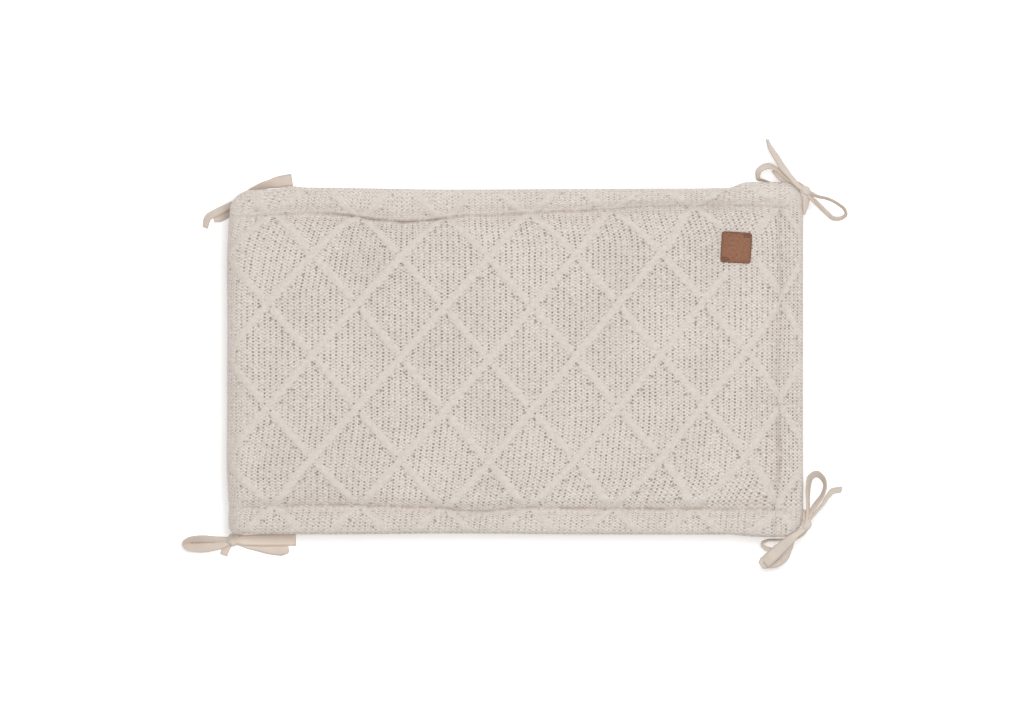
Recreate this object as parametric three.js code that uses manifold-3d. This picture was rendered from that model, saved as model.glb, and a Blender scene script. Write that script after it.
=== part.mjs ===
// A padded, knitted playpen bumper, 180 x 35 cm before filling, folded in three and lying flat.
// Millimetres, +Z up. The origin is the centre of its underside, on the surface it lies on.
// +X runs along the folded length to the free end of the top layer, +Y across the strip.
import * as THREE from 'three';
import { mergeVertices } from 'three/addons/utils/BufferGeometryUtils.js';
import Module from 'manifold-3d';

const wasm = await Module();
wasm.setup();

// Driving sizes of the folded strip
const END_X = 292.5;            // free end of the top layer
const FOLD_X = -292.2;          // outer skin of the left fold
const LOWER_FOLD_X = 287;       // outer skin of the right fold, hidden under the top layer
const LOWER_END_X = -272;       // free end of the bottom layer, hidden under the left fold
const LOWER_HALF_WIDTH = 173;   // the two lower layers lie a little inside the top one
const LOWER_FLANGE = 25;        // rim to stitch line on the lower layers
const FRONT = 9.5;              // mid-plane to the patterned face, where the filling is fullest
const BACK = 8;                 // mid-plane to the plain back face
const LAYER_GAP = 1.5;
const RIM = 0.6;                // half the thickness of the sewn edge
const CORNER = 20;              // corner radius in plan

// Filling, as shares of the full thickness; widths are in flange widths
const FILLING = {
  flange: 0.84,
  rimRound: 0.45,
  rimPower: 2.4,
  stitchDepth: 0.42,
  stitchSpread: 0.4,
  shoulder: 1.6,
  crownEdge: 0.08,
  crownMiddle: 0.08,
};

// Diamond lattice of cables on the patterned face
const LATTICE = { x: -118.6, y: 5.07, pitchX: 88.36, pitchY: 105, rise: 2.5, knot: 0.8, halfWidth: 5.65 };
const CABLE_AT_STITCH = 0.35;   // share of its height that a cable keeps in a stitch line
const STEPS = 12;               // mesh steps in one pitch, so that every cable runs along mesh edges
const STEP_X = LATTICE.pitchX / STEPS;
const STEP_Y = LATTICE.pitchY / STEPS;

// Each stitch line lies on a row of crossings, this many mesh steps from the lattice's own place
const STITCH_AT = { top: 18, bottom: -18, end: 54 };
const TOP_ROW = LATTICE.y + STITCH_AT.top * STEP_Y;
const BOTTOM_ROW = LATTICE.y + STITCH_AT.bottom * STEP_Y;
const END_ROW = LATTICE.x + STITCH_AT.end * STEP_X;
const FIRST_STATION = -26;

// The knit is taken up as it nears a stitch line, partly evenly and partly at the line itself
const TAKE_UP = { evenly: 0.35, power: 8, top: 60, bottom: -60, end: 236 };
// It is also gathered along the long stitch lines, towards one place
const GATHER = { by: 0.035, about: -100, fades: 38 };
const SIDE_DRIFT = [[-251, 0], [-160, 2.4], [-30, 3.4], [60, 3.4], [150, 1.8], [235, 0]];

// Share of a flange's width from its stitch line, then the length of knit that lies on it
const FLANGE_KNIT = [[0, 0], [0.06, 5], [0.15, 10], [0.35, 17.5], [1, 36]];
const END_FLANGE_KNIT = 35;

// Shares of the flange width at which its mesh rows lie, from the rim to the stitch line
const FINE_FLANGE = [0, 0.08, 0.34, 0.65, 0.875, 1];
const FINE_END_FLANGE = [0, 0.08, 0.16, 0.37, 0.58, 0.79, 1];
const COARSE_FLANGE = [0, 0.15, 0.6, 1, 1.5];
const COARSE_MIDDLE = [-60, 60];

// Mesh stations of the hidden layers
const HIDDEN_TURN = [128, 154, 180];
const MIDDLE_STATIONS = [-225, -110, 20, 130, 230];
const BOTTOM_STATIONS = [190, 80, -50, -160];
const FOLD_STEP = 30;

// Uneven edges and stitch lines of the top layer: place along the strip, then place across it
const TOP_EDGE = [[-292, 174], [-262, 175], [-238, 178], [-212, 176.4], [-66, 174.5], [188, 175.5],
  [226, 176], [248, 182], [292, 182.5]];
const BOTTOM_EDGE = [[-292, -175], [-188, -175.5], [-66, -174.5], [86, -175.5], [225, -175.6], [263, -178.3],
  [292, -178.3]];
const TOP_STITCH = [[-284, 147.6], [-205, 150.5], [-112, 141.8], [-35, 148.3], [63, 152.5], [161, 157.3],
  [242, 158.5], [292, 156]];
const BOTTOM_STITCH = [[-284, -148.6], [-200, -146], [-82, -148.6], [-40, -152.5], [13, -148.8], [120, -150],
  [292, -150]];
const END_STITCH = [[-150, 262], [-106, 268], [-17, 265.8], [90, 269.3], [150, 267.5]];
const LATTICE_DRIFT = [[-289, 1], [-188, 1.5], [-35, -3], [106, 1], [269, 7.1]];

// The top left corner of the fold is drawn in
const DRAWN_IN = { by: 16, from: 140, to: 175, fades: 60 };

// Leather patch
const PATCH = {
  x: 224.5,
  y: 115.7,
  width: 30.8,
  height: 31.4,
  thick: 1.5,
  corner: 3,
  turn: -3.5,
  gap: 0.3,
  rimUnits: 3,                  // far enough in from the rim for the full crown
};
const PATCH_SEAT = { inner: 20, outer: 30 };

// Heights of the three mid-planes, and the two folds that join them
const BOTTOM_Z = BACK;
const MIDDLE_Z = BOTTOM_Z + 2 * FRONT + LAYER_GAP;
const TOP_Z = MIDDLE_Z + 2 * BACK + LAYER_GAP;
const LEFT_FOLD = { z: (MIDDLE_Z + TOP_Z) / 2, radius: BACK + LAYER_GAP / 2 };
LEFT_FOLD.outer = LEFT_FOLD.radius + FRONT;
LEFT_FOLD.x = FOLD_X + LEFT_FOLD.outer;
const RIGHT_FOLD = { z: (BOTTOM_Z + MIDDLE_Z) / 2, radius: FRONT + LAYER_GAP / 2 };
RIGHT_FOLD.x = LOWER_FOLD_X - RIGHT_FOLD.radius - BACK;

const CREAM = new THREE.MeshStandardMaterial({ color: 0xd4cbc2, roughness: 0.95, metalness: 0 });
const TAPE = new THREE.MeshStandardMaterial({ color: 0xdcccbd, roughness: 0.9, metalness: 0 });
const TAN = new THREE.MeshStandardMaterial({ color: 0x976c56, roughness: 0.6, metalness: 0 });

function ease(t) {
  const c = Math.min(Math.max(t, 0), 1);
  return c * c * (3 - 2 * c);
}

// A value from a table of places and values, joined smoothly or by another rule
function along(table, at, rule = ease) {
  const next = table.findIndex(([place]) => at <= place);
  if (next === 0) {
    return table[0][1];
  }
  if (next < 0) {
    return table.at(-1)[1];
  }
  const [x0, y0] = table[next - 1];
  const [x1, y1] = table[next];
  return y0 + (y1 - y0) * rule((at - x0) / (x1 - x0));
}

function evenly(t) {
  return t;
}

// How near a place is to the middle of a stitch groove: 0 in it, 1 beyond it
function offStitch(units) {
  return Math.min(Math.abs(units - 1) / FILLING.stitchSpread, 1);
}

// How full the filling is at a distance from the rim, measured in flange widths
function fullness(units) {
  const { flange, rimRound, rimPower, stitchDepth } = FILLING;
  const rise = (1 - (1 - Math.min(units / rimRound, 1)) ** rimPower) ** (1 / rimPower);
  return flange * rise - stitchDepth * (1 - offStitch(units) ** 2) ** 2;
}

function crown(units, y) {
  const middle = 1 - (y / LOWER_HALF_WIDTH) ** 2;
  return ease((units - 1) / FILLING.shoulder) * (FILLING.crownEdge + FILLING.crownMiddle * middle);
}

// Distance from the nearest rim in flange widths, with rounded corners
function rimUnits(a, b) {
  const round = CORNER / LOWER_FLANGE;
  if (a < round && b < round) {
    return Math.max(round - Math.hypot(round - a, round - b), 0);
  }
  return Math.min(a, b);
}

function wave(value) {
  return Math.abs(value - Math.round(value));
}

// Height of the cables at a place on the knit
function cableRise(knitX, knitY) {
  const across = (knitX - LATTICE.x) / LATTICE.pitchX;
  const up = (knitY - LATTICE.y) / LATTICE.pitchY;
  const unit = 1 / Math.hypot(1 / LATTICE.pitchX, 1 / LATTICE.pitchY);
  const first = Math.max(0, 1 - (wave(across + up) * unit) / LATTICE.halfWidth);
  const second = Math.max(0, 1 - (wave(across - up) * unit) / LATTICE.halfWidth);
  return LATTICE.rise * Math.max(first, second) + LATTICE.knot * Math.min(first, second);
}

function takenUp(knit, from, to) {
  const near = Math.max((knit - from) / (to - from), 0);
  return TAKE_UP.evenly * near + (1 - TAKE_UP.evenly) * near ** TAKE_UP.power;
}

// Edges and stitch lines at one station along the strip
function borders(station) {
  if (!station.top) {
    const inner = LOWER_HALF_WIDTH - LOWER_FLANGE;
    return { top: LOWER_HALF_WIDTH, bottom: -LOWER_HALF_WIDTH, topStitch: inner, bottomStitch: -inner };
  }
  return {
    top: along(TOP_EDGE, station.at),
    bottom: along(BOTTOM_EDGE, station.at),
    topStitch: along(TOP_STITCH, station.at),
    bottomStitch: along(BOTTOM_STITCH, station.at),
  };
}

// Where a place on the knit of the top layer comes to lie along the strip
function reach(knitX, y, border) {
  const seam = along(END_STITCH, y);
  if (knitX >= END_ROW) {
    return seam + ((END_X - seam) * (knitX - END_ROW)) / END_FLANGE_KNIT;
  }
  const inside = Math.min(border.topStitch - y, y - border.bottomStitch);
  const near = ease(1 - inside / GATHER.fades) * ease((END_ROW - knitX) / GATHER.fades);
  const gathered = GATHER.by * (knitX - GATHER.about) * near;
  const drift = along(SIDE_DRIFT, knitX);
  return knitX + drift - gathered + takenUp(knitX, TAKE_UP.end, END_ROW) * (seam - END_ROW);
}

// The rim steps in where a station lies inside a rounded corner
function cornerInset(station) {
  const out = Math.max(CORNER - station.end * LOWER_FLANGE, 0);
  return CORNER - Math.sqrt(Math.max(CORNER * CORNER - out * out, 0));
}

// Rows of the patterned face between its stitch lines, as places across the strip and on the knit
function fieldRows(station, border) {
  const drift = along(LATTICE_DRIFT, station.at);
  const topSlack = border.topStitch - TOP_ROW - drift;
  const bottomSlack = border.bottomStitch - BOTTOM_ROW - drift;
  const rows = [];
  for (let k = STITCH_AT.bottom + 1; k < STITCH_AT.top; k += 1) {
    const knitY = LATTICE.y + k * STEP_Y;
    const top = topSlack * takenUp(knitY, TAKE_UP.top, TOP_ROW);
    const bottom = bottomSlack * takenUp(-knitY, -TAKE_UP.bottom, -BOTTOM_ROW);
    rows.push({ y: knitY + drift + top + bottom, knitY });
  }
  return rows;
}

// Rows of one face at one station, from the bottom edge to the top one
function rowsAcross(station, fine) {
  const border = borders(station);
  const inset = cornerInset(station);
  const [low, high] = [border.bottom + inset, border.top - inset];
  const shares = fine ? FINE_FLANGE : COARSE_FLANGE;
  const flange = shares.map((share) => ({ share, knit: along(FLANGE_KNIT, 1 - share, evenly) }));
  const lower = flange.map(({ share, knit }) => ({
    y: low + share * (border.bottomStitch - low),
    knitY: BOTTOM_ROW - knit,
  }));
  const upper = flange.map(({ share, knit }) => ({
    y: high + share * (border.topStitch - high),
    knitY: TOP_ROW + knit,
  }));
  const middle = fine ? fieldRows(station, border) : COARSE_MIDDLE.map((y) => ({ y }));
  return [...lower, ...middle, ...upper.reverse()];
}

// Where a station's mid-plane is, and which way its patterned face looks
function placeOnFold(fold, side, turned) {
  const sin = Math.sin(turned);
  const cos = Math.cos(turned);
  return {
    x: fold.x + side * fold.radius * sin,
    z: fold.z + fold.radius * cos,
    nx: -sin,
    nz: side < 0 ? cos : -cos,
  };
}

// The top layer is flat, then goes round the left fold
function placeOnTop(at) {
  const turned = (LEFT_FOLD.x - at) / LEFT_FOLD.outer;
  if (turned <= 0) {
    return { x: at, z: TOP_Z, nx: 0, nz: 1 };
  }
  return placeOnFold(LEFT_FOLD, -1, turned);
}

function nearFold(x) {
  return ease(1 - (x - LEFT_FOLD.x) / DRAWN_IN.fades);
}

function topStation(knitX) {
  const level = { topStitch: Infinity, bottomStitch: -Infinity };
  const at = reach(knitX, 0, level);
  return { top: true, knitX, at, end: (END_X - at) / LOWER_FLANGE, fold: nearFold(at) };
}

function stationsAlong() {
  const list = FINE_END_FLANGE.map((share) => topStation(END_ROW + (1 - share) * END_FLANGE_KNIT));
  for (let j = STITCH_AT.end - 1; j >= FIRST_STATION; j -= 1) {
    list.push(topStation(LATTICE.x + j * STEP_X));
  }
  const hidden = { top: false, end: Infinity };
  for (const degrees of HIDDEN_TURN) {
    const place = placeOnFold(LEFT_FOLD, -1, THREE.MathUtils.degToRad(degrees));
    list.push({ ...hidden, ...place, fold: 1, bent: true });
  }
  for (const x of MIDDLE_STATIONS) {
    list.push({ ...hidden, x, z: MIDDLE_Z, nx: 0, nz: -1, fold: nearFold(x) });
  }
  for (let degrees = 0; degrees <= 180; degrees += FOLD_STEP) {
    const place = placeOnFold(RIGHT_FOLD, 1, THREE.MathUtils.degToRad(degrees));
    list.push({ ...hidden, ...place, fold: 0, bent: true });
  }
  const bottom = { ...hidden, z: BOTTOM_Z, nx: 0, nz: 1, fold: 0 };
  for (const x of BOTTOM_STATIONS) {
    list.push({ ...bottom, x, end: (x - LOWER_END_X) / LOWER_FLANGE });
  }
  for (const share of [...COARSE_FLANGE].reverse()) {
    list.push({ ...bottom, x: LOWER_END_X + share * LOWER_FLANGE, end: share });
  }
  return list;
}

// Half the thickness towards the patterned face, without its cables
function frontHalf(station, units, y) {
  const half = FRONT * (Math.max(fullness(units), 0) + crown(units, y));
  return station.bent ? Math.min(half, FRONT) : half;
}

// Height of the cables at one point of the skin; they stop short of the patch
function cables(station, units, x, row) {
  const sewn = CABLE_AT_STITCH + (1 - CABLE_AT_STITCH) * offStitch(units);
  const fromPatch = Math.hypot(x - PATCH.x, row.y - PATCH.y);
  const seat = ease((fromPatch - PATCH_SEAT.inner) / (PATCH_SEAT.outer - PATCH_SEAT.inner));
  return cableRise(station.knitX, row.knitY) * sewn * ease(units / FILLING.rimRound) * seat;
}

// One point of the skin: side +1 is the patterned face, -1 the back
function skinPoint(station, row, side) {
  const { y } = row;
  const border = borders(station);
  const fromTop = (border.top - y) / (border.top - border.topStitch);
  const fromBottom = (y - border.bottom) / (border.bottomStitch - border.bottom);
  const at = station.top ? reach(station.knitX, y, border) : 0;
  const place = station.top ? placeOnTop(at) : station;
  const end = station.top ? (END_X - at) / (END_X - along(END_STITCH, y)) : station.end;
  const units = rimUnits(end, Math.max(Math.min(fromTop, fromBottom), 0));
  let half = BACK * Math.min(Math.max(fullness(units), 0) / FILLING.flange, 1);
  if (side > 0) {
    half = frontHalf(station, units, y);
  }
  half = Math.max(half, RIM);
  if (side > 0 && station.top) {
    half += cables(station, units, place.x, row);
  }
  const pull = Math.max((y - DRAWN_IN.from) / (DRAWN_IN.to - DRAWN_IN.from), 0);
  const shift = DRAWN_IN.by * station.fold * Math.min(pull, 1) ** 3;
  return {
    at: [place.x + shift + side * place.nx * half, y, place.z + side * place.nz * half],
    lift: half,
    y,
  };
}

function faceRow(station, side) {
  const rows = rowsAcross(station, side > 0 && station.top);
  return rows.map((row) => skinPoint(station, row, side));
}

// Triangles of a closed skin, gathered point by point
class Skin {
  constructor() {
    this.points = [];
    this.faces = [];
  }

  add(row) {
    return row.map((point) => {
      this.points.push(point.at);
      return { ...point, id: this.points.length - 1 };
    });
  }

  triangle(a, b, c) {
    this.faces.push(a.id, b.id, c.id);
  }

  // Joins two rows of points; where both have as many, each quad is split along its higher diagonal
  join(first, second) {
    if (first.length === second.length) {
      for (let i = 1; i < first.length; i += 1) {
        const [a, b, c, d] = [first[i - 1], first[i], second[i], second[i - 1]];
        if (a.lift + c.lift > b.lift + d.lift) {
          this.triangle(a, b, c);
          this.triangle(a, c, d);
        } else {
          this.triangle(a, b, d);
          this.triangle(b, c, d);
        }
      }
      return;
    }
    let i = 0;
    let j = 0;
    while (i < first.length - 1 || j < second.length - 1) {
      const nextFirst = i < first.length - 1 ? first[i + 1].y : Infinity;
      const nextSecond = j < second.length - 1 ? second[j + 1].y : Infinity;
      if (nextFirst <= nextSecond) {
        this.triangle(first[i], first[i + 1], second[j]);
        i += 1;
      } else {
        this.triangle(first[i], second[j + 1], second[j]);
        j += 1;
      }
    }
  }

  geometry() {
    const geometry = new THREE.BufferGeometry();
    geometry.setAttribute('position', new THREE.Float32BufferAttribute(this.points.flat(), 3));
    geometry.setIndex(this.faces);
    return geometry;
  }
}

function padGeometry() {
  const skin = new Skin();
  const rings = stationsAlong().map((station) => ({
    front: skin.add(faceRow(station, 1)),
    back: skin.add(faceRow(station, -1)),
  }));
  for (let i = 1; i < rings.length; i += 1) {
    const [one, two] = [rings[i - 1], rings[i]];
    skin.join(one.front, two.front);
    skin.join(two.back, one.back);
    skin.join([two.front[0], two.back[0]], [one.front[0], one.back[0]]);
    skin.join([one.front.at(-1), one.back.at(-1)], [two.front.at(-1), two.back.at(-1)]);
  }
  skin.join(rings[0].back, rings[0].front);
  skin.join(rings.at(-1).front, rings.at(-1).back);
  return skin.geometry();
}

// Tape ties. Each row of a strand: x, y, z, width, bank in degrees (0 lies flat, 90 is on edge)
const TAPE_THICK = 1.4;
const STRAND_STEPS = 10;
const LOOP_HALF_STEPS = 12;
// The share of a loop's length that its two halves have in common
const LOOP_OVERLAP = 0.03;
const [KNOT_SIDES, KNOT_RINGS] = [12, 7];
const TAPE_TOLERANCE = 0.08;
const WELD = 1e-4;

const TIES = {
  tie_top_right: {
    knot: { at: [294.9, 173.4, 51.5], size: [6.8, 4.5, 4.2], turn: -42 },
    tails: [
      [[294.5, 173.6, 52.5, 5, 20], [287.5, 178.8, 53, 5.5, 35], [279.8, 187.6, 50, 7, 45],
       [272.2, 196.5, 44, 9.5, 46], [265.5, 207.2, 37, 10, 50], [259.8, 216.5, 31, 9, 56],
       [256.6, 225.2, 27, 5, 62]],
      [[295, 173.5, 48, 5, 20], [287.5, 179.4, 41, 6, 60], [278, 182.4, 36, 8, 60],
       [270, 186, 33, 9, 58], [262.6, 194.4, 32, 9, 58]],
      [[296, 171, 51, 6, -15], [295.8, 164.5, 50, 9, -35], [295.2, 156, 47.5, 9, -55],
       [294.6, 149.5, 45, 6, -75]],
    ],
    loops: [
      [[294.5, 174, 52.5, 5, 20], [285.5, 180.3, 50.5, 6, 62], [275.6, 187, 47.5, 9, 70],
       [265.5, 195.4, 44.5, 11, 68], [255.3, 198.2, 42, 12, 58], [247.2, 193.1, 40, 12, 62],
       [246.9, 185.6, 38, 11, 70], [253.5, 182.9, 35.5, 9, 76], [263, 179.2, 33, 8, 78],
       [274, 177.8, 33, 8, 76], [283.5, 181, 38, 7, 70], [290.5, 177.6, 45, 6, 50],
       [295.2, 173, 50, 5, 30]],
      [[295.2, 172.8, 52, 5, 20], [299.8, 170.2, 52, 7, 60], [306.5, 167.4, 50.5, 10, 76],
       [317.3, 165, 47.5, 12, 79], [326.6, 160.5, 44, 12, 79], [334.1, 154.3, 41, 12, 78],
       [335.4, 149.2, 39.5, 12, 76], [331.6, 145.7, 38.5, 12, 74], [323.3, 145.3, 38.5, 12, 70],
       [316.2, 151, 41, 12, 68], [308.3, 158.8, 45.5, 11, 66], [301.2, 166, 49.5, 7, 55],
       [295.8, 172.2, 51, 5, 20]],
    ],
  },
  tie_bottom_right: {
    knot: { at: [295.7, -166.8, 51.5], size: [6.8, 4.4, 4.2], turn: 46 },
    tails: [
      [[295.8, -166.4, 52, 5, 20], [299.4, -161, 51.5, 5, 60], [305.5, -153.7, 48, 7, 68],
       [312.2, -145.6, 44, 8, 68], [317.3, -137.5, 39, 9, 64], [322.5, -131.8, 34, 10, 55],
       [331.4, -130.2, 31, 9, 50]],
      [[296, -168.5, 48, 5, 20], [289, -176.6, 42, 6, 66], [278, -180, 36, 7, 74],
       [266.5, -180.6, 31, 8, 76], [256, -181.2, 28, 9, 76], [250.8, -184.4, 27, 9, 72],
       [252.4, -188.6, 26, 9, 66], [259, -191.5, 25, 10, 58]],
      [[296.2, -165.8, 51, 6, 15], [295.6, -158.5, 50, 9, 38], [295, -151, 47, 8, 62]],
    ],
    loops: [
      [[296, -165.8, 53, 5, 20], [297.6, -157, 52, 6, 60], [297.6, -143, 48, 9, 68],
       [297.5, -128.1, 45, 12, 68], [299.9, -117.6, 42, 12, 60], [306, -114.3, 40, 12, 56],
       [312.2, -118.5, 39, 12, 66], [314.6, -125, 39.5, 12, 74], [312.2, -134.5, 42, 12, 72],
       [305.8, -143.8, 46, 10, 62], [300, -152.6, 50, 7, 55], [296.8, -163, 52, 5, 30]],
      [[296, -168.4, 53, 5, 15], [288.2, -173.4, 52.5, 6, 14], [276.5, -183, 48, 10.5, 12],
       [264.5, -194, 41, 12.5, 10], [255.4, -202.3, 34.5, 12.5, 8], [253.3, -204, 31.5, 12.5, 4],
       [255.4, -203.8, 28.5, 12.5, 4], [264.5, -203, 27.5, 12.5, 14], [272, -198.6, 30, 12, 30],
       [277, -190.5, 35, 11, 44], [281.2, -182, 40.5, 9, 52], [288.6, -175.6, 46, 7, 46],
       [296, -169.6, 50, 5, 20]],
    ],
  },
  tie_bottom_left: {
    knot: { at: [-286, -181, 6.2], size: [8, 6.6, 5.4], turn: 10 },
    tails: [
      [[-286, -181, 7, 7, 0], [-270.9, -181.2, 8, 11, -6], [-247.3, -180.8, 6.6, 12.5, -10],
       [-222.2, -180.8, 4, 12.5, -6]],
      [[-286, -182, 4.5, 6, 20], [-292.4, -187.6, 3.6, 9, 24], [-295.6, -196.4, 2.4, 8, 14]],
      [[-286, -182, 4.6, 6, 14], [-266, -186.4, 3.2, 10, 8], [-248, -189.6, 2.6, 12.5, 6],
       [-237, -190.8, 2.2, 12.5, 4], [-231.8, -190.2, 2, 10, 3], [-229.4, -189.4, 1.9, 5, 2]],
      [[-285, -180, 6, 6, 30], [-277, -173.6, 7, 9, 55], [-269.2, -167.2, 8, 10, 62]],
    ],
    loops: [
      [[-286, -181.5, 7, 6, -10], [-302, -181, 6.8, 8, -36], [-318, -180.2, 7.2, 11, -48],
       [-329.5, -181.2, 7.4, 12, -58], [-335.2, -184.8, 7.4, 12, -66], [-330.5, -188, 7, 12, -46],
       [-317, -188.6, 6.2, 12, -32], [-302, -186.8, 6, 9.5, -26], [-287, -182, 6.4, 6, -10]],
    ],
  },
  tie_top_left: {
    knot: { at: [-278, 164.2, 6], size: [6, 4.8, 5], turn: 35 },
    tails: [
      [[-278, 164, 6, 6, 30], [-290, 158, 5.4, 9, 42], [-303, 151.2, 4.9, 10.5, 44],
       [-311.6, 146, 4.3, 9.5, 42], [-314.6, 135.8, 2.6, 6.5, 30]],
      [[-278, 165, 6, 6, 60], [-266, 174.4, 6.6, 9, 66], [-252, 179.2, 6.8, 11.5, 46],
       [-238, 182.4, 6, 12.5, 16], [-226, 184.4, 5.2, 12.5, 6]],
      [[-277.5, 164, 6.4, 6, 40], [-271.8, 161.4, 7.6, 9, 70]],
      [[-278, 163, 4.6, 5, 20], [-288, 152.6, 3, 8, 8], [-299, 145.6, 1.9, 8, 0],
       [-305.5, 144.4, 1.8, 7, 0]],
    ],
    loops: [],
  },
};

function solid(geometry) {
  geometry.deleteAttribute('normal');
  geometry.deleteAttribute('uv');
  const merged = mergeVertices(geometry, WELD);
  return new wasm.Manifold(new wasm.Mesh({
    numProp: 3,
    vertProperties: new Float32Array(merged.attributes.position.array),
    triVerts: new Uint32Array(merged.index.array),
  }));
}

// The tape's width and bank between its rows, at a share of the way through them
function tapeShape(rows, t) {
  const row = Math.min(Math.floor(t * (rows.length - 1)), rows.length - 2);
  const share = ease(t * (rows.length - 1) - row);
  const [one, two] = [rows[row], rows[row + 1]];
  return {
    wide: THREE.MathUtils.lerp(one[3], two[3], share),
    bank: THREE.MathUtils.degToRad(THREE.MathUtils.lerp(one[4], two[4], share)),
  };
}

// A stretch of tape swept along part of a smooth path through its rows
function tapeStretch(rows, from, to, steps) {
  const places = rows.map(([x, y, z]) => new THREE.Vector3(x, y, z));
  const path = new THREE.CatmullRomCurve3(places, false, 'centripetal');
  const skin = new Skin();
  const rings = [];
  const lastAcross = new THREE.Vector3();
  for (let i = 0; i <= steps; i += 1) {
    const t = from + ((to - from) * i) / steps;
    const middle = path.getPoint(t);
    const ahead = path.getTangent(t).normalize();
    const { wide, bank } = tapeShape(rows, t);
    const level = new THREE.Vector3(-ahead.y, ahead.x, 0).normalize();
    const across = level.applyAxisAngle(ahead, bank).multiplyScalar(wide / 2);
    if (across.dot(lastAcross) < 0) {
      across.negate();
    }
    lastAcross.copy(across);
    const out = across.clone().cross(ahead).setLength(TAPE_THICK / 2);
    const corners = [[1, 1], [-1, 1], [-1, -1], [1, -1]].map(([a, b]) => ({
      at: middle.clone().addScaledVector(across, a).addScaledVector(out, b).toArray(),
      lift: 0,
    }));
    rings.push(skin.add(corners));
  }
  for (let i = 1; i < rings.length; i += 1) {
    skin.join([...rings[i], rings[i][0]], [...rings[i - 1], rings[i - 1][0]]);
  }
  const [a, b] = [rings[0], rings.at(-1)];
  skin.join([a[0], a[1]], [a[3], a[2]]);
  skin.join([b[1], b[0]], [b[2], b[3]]);
  return skin.geometry();
}

function tieGeometry({ knot, tails, loops }) {
  const ball = new THREE.SphereGeometry(1, KNOT_SIDES, KNOT_RINGS);
  ball.scale(...knot.size);
  ball.rotateZ(THREE.MathUtils.degToRad(knot.turn));
  ball.translate(...knot.at);
  let tie = solid(ball);
  const stretches = tails.map((rows) => [rows, 0, 1, STRAND_STEPS]);
  for (const rows of loops) {
    stretches.push([rows, 0, 0.5 + LOOP_OVERLAP, LOOP_HALF_STEPS]);
    stretches.push([rows, 0.5, 1, LOOP_HALF_STEPS]);
  }
  for (const stretch of stretches) {
    tie = tie.add(solid(tapeStretch(...stretch)));
  }
  const mesh = tie.simplify(TAPE_TOLERANCE).getMesh();
  const geometry = new THREE.BufferGeometry();
  geometry.setAttribute('position', new THREE.BufferAttribute(mesh.vertProperties, 3));
  geometry.setIndex(new THREE.BufferAttribute(mesh.triVerts, 1));
  return geometry;
}

function patchGeometry() {
  const { width, height, corner, thick } = PATCH;
  const [w, h] = [width / 2, height / 2];
  const outline = new THREE.Shape();
  outline.absarc(w - corner, h - corner, corner, 0, Math.PI / 2);
  outline.absarc(-w + corner, h - corner, corner, Math.PI / 2, Math.PI);
  outline.absarc(-w + corner, -h + corner, corner, Math.PI, 1.5 * Math.PI);
  outline.absarc(w - corner, -h + corner, corner, 1.5 * Math.PI, 2 * Math.PI);
  return new THREE.ExtrudeGeometry(outline, { depth: thick, bevelEnabled: false, curveSegments: 4 });
}

function named(name, geometry, material) {
  const mesh = new THREE.Mesh(geometry, material);
  mesh.name = name;
  return mesh;
}

function patch() {
  const mesh = named('leather_patch', patchGeometry(), TAN);
  const seat = FRONT * (FILLING.flange + crown(PATCH.rimUnits, PATCH.y - PATCH.height / 2));
  mesh.position.set(PATCH.x, PATCH.y, TOP_Z + seat + PATCH.gap);
  mesh.rotation.z = THREE.MathUtils.degToRad(PATCH.turn);
  return mesh;
}

const bumper = new THREE.Group();
bumper.add(named('bumper_pad', padGeometry(), CREAM));
for (const [name, tie] of Object.entries(TIES)) bumper.add(named(name, tieGeometry(tie), TAPE));
bumper.add(patch());

export default bumper;
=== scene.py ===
"""The looks of a padded, knitted playpen bumper, folded in three and lying flat.

Shapes are worked out in millimetres, from the same sizes as the solids, and made in metres.
"""
import math

import bpy
import numpy as np
from mathutils import Matrix, Vector


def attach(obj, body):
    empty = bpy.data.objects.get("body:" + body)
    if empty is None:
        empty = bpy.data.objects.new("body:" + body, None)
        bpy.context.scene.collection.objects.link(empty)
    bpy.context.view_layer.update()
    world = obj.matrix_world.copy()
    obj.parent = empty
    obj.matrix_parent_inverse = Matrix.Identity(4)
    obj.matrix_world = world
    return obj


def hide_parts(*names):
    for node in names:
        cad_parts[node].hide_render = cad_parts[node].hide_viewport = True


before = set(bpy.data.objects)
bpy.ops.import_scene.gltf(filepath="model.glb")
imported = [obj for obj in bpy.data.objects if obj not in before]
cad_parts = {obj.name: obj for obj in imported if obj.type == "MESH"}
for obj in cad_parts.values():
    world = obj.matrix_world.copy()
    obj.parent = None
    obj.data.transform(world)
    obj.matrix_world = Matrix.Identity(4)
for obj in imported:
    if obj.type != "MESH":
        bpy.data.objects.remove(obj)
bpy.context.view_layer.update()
MM = 0.001

# Driving sizes of the folded strip
END_X = 292.5
FOLD_X = -292.2
LOWER_FOLD_X = 287.0
LOWER_END_X = -272.0
LOWER_HALF_WIDTH = 173.0
LOWER_FLANGE = 25.0
FRONT = 9.5
BACK = 8.0
LAYER_GAP = 1.5
RIM = 0.6
CORNER = 20.0

# Filling, as shares of the full thickness
FLANGE_FULLNESS = 0.84
RIM_ROUND, RIM_POWER = 0.45, 2.4
STITCH_DEPTH, STITCH_SPREAD = 0.42, 0.4
SHOULDER = 1.6
CROWN_EDGE, CROWN_MIDDLE = 0.08, 0.08

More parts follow.
